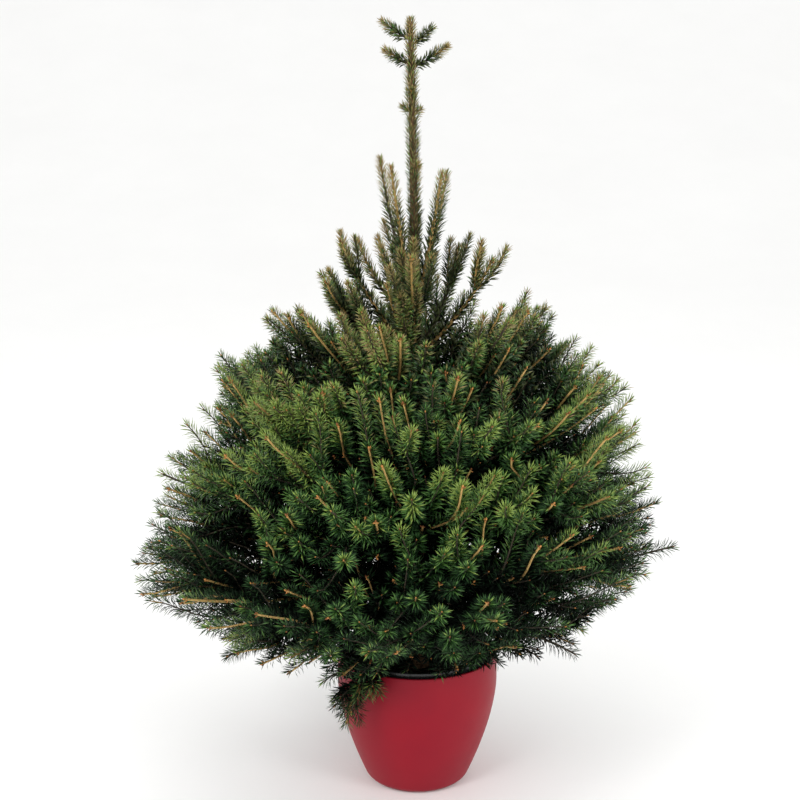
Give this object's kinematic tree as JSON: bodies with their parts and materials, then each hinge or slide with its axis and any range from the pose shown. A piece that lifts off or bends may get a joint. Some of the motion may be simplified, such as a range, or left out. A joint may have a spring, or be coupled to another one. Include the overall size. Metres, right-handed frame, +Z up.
{
  "type": "potted norway spruce",
  "caption": "Young upright Norway spruce with a dense low crown and a bare leader, grown in a black nursery pot that stands in a round red planter.",
  "frame": {"origin": "centre of the planter's flat underside, at the mount foot", "axes": "+Z up along the trunk, -Y towards the side that the picture shows, +X to the right of that view"},
  "size_m": [0.8457, 0.8664, 1.2081],
  "materials": {
    "planter_red": "satin",
    "nursery_pot_black": "gloss",
    "soil": "matte",
    "bark": "matte",
    "needles": "matte"
  },
  "bodies": {
    "root": {"bough_drooping_1": "bark", "bough_front_1": "bark", "bough_low_1": "bark", "bough_low_2": "bark", "bough_low_3": "bark", "bough_low_4": "bark", "bough_low_5": "bark", "bough_low_6": "bark", "bough_skirt_1": "bark", "bough_skirt_2": "bark", "bough_skirt_3": "bark", "bough_skirt_4": "bark", "foliage_crest_1": "needles", "foliage_crest_2": "needles", "foliage_crest_3": "needles", "foliage_crest_4": "needles", "foliage_crest_5": "needles", "foliage_drooping_1": "needles", "foliage_front_1": "needles", "foliage_high_1": "needles", "foliage_high_2": "needles", "foliage_high_3": "needles", "foliage_high_4": "needles", "foliage_high_5": "needles", "foliage_high_6": "needles", "foliage_low_1": "needles", "foliage_low_2": "needles", "foliage_low_3": "needles", "foliage_low_4": "needles", "foliage_low_5": "needles", "foliage_low_6": "needles", "foliage_middle_1": "needles", "foliage_middle_2": "needles", "foliage_middle_3": "needles", "foliage_middle_4": "needles", "foliage_middle_5": "needles", "foliage_middle_6": "needles", "foliage_skirt_1": "needles", "foliage_skirt_2": "needles", "foliage_skirt_3": "needles", "foliage_skirt_4": "needles", "foliage_top_1": "needles", "foliage_top_2": "needles", "foliage_top_3": "needles", "foliage_top_4": "needles", "foliage_top_5": "needles", "foliage_upper_1": "needles", "foliage_upper_2": "needles", "foliage_upper_3": "needles", "foliage_upper_4": "needles", "foliage_upper_5": "needles", "foliage_upper_6": "needles", "nursery_pot": "nursery_pot_black", "planter": "planter_red", "soil": "soil", "trunk": "bark", "tuft_1": "needles", "tuft_2": "needles", "tuft_3": "needles", "tuft_4": "needles"}
  },
  "joints": []
}
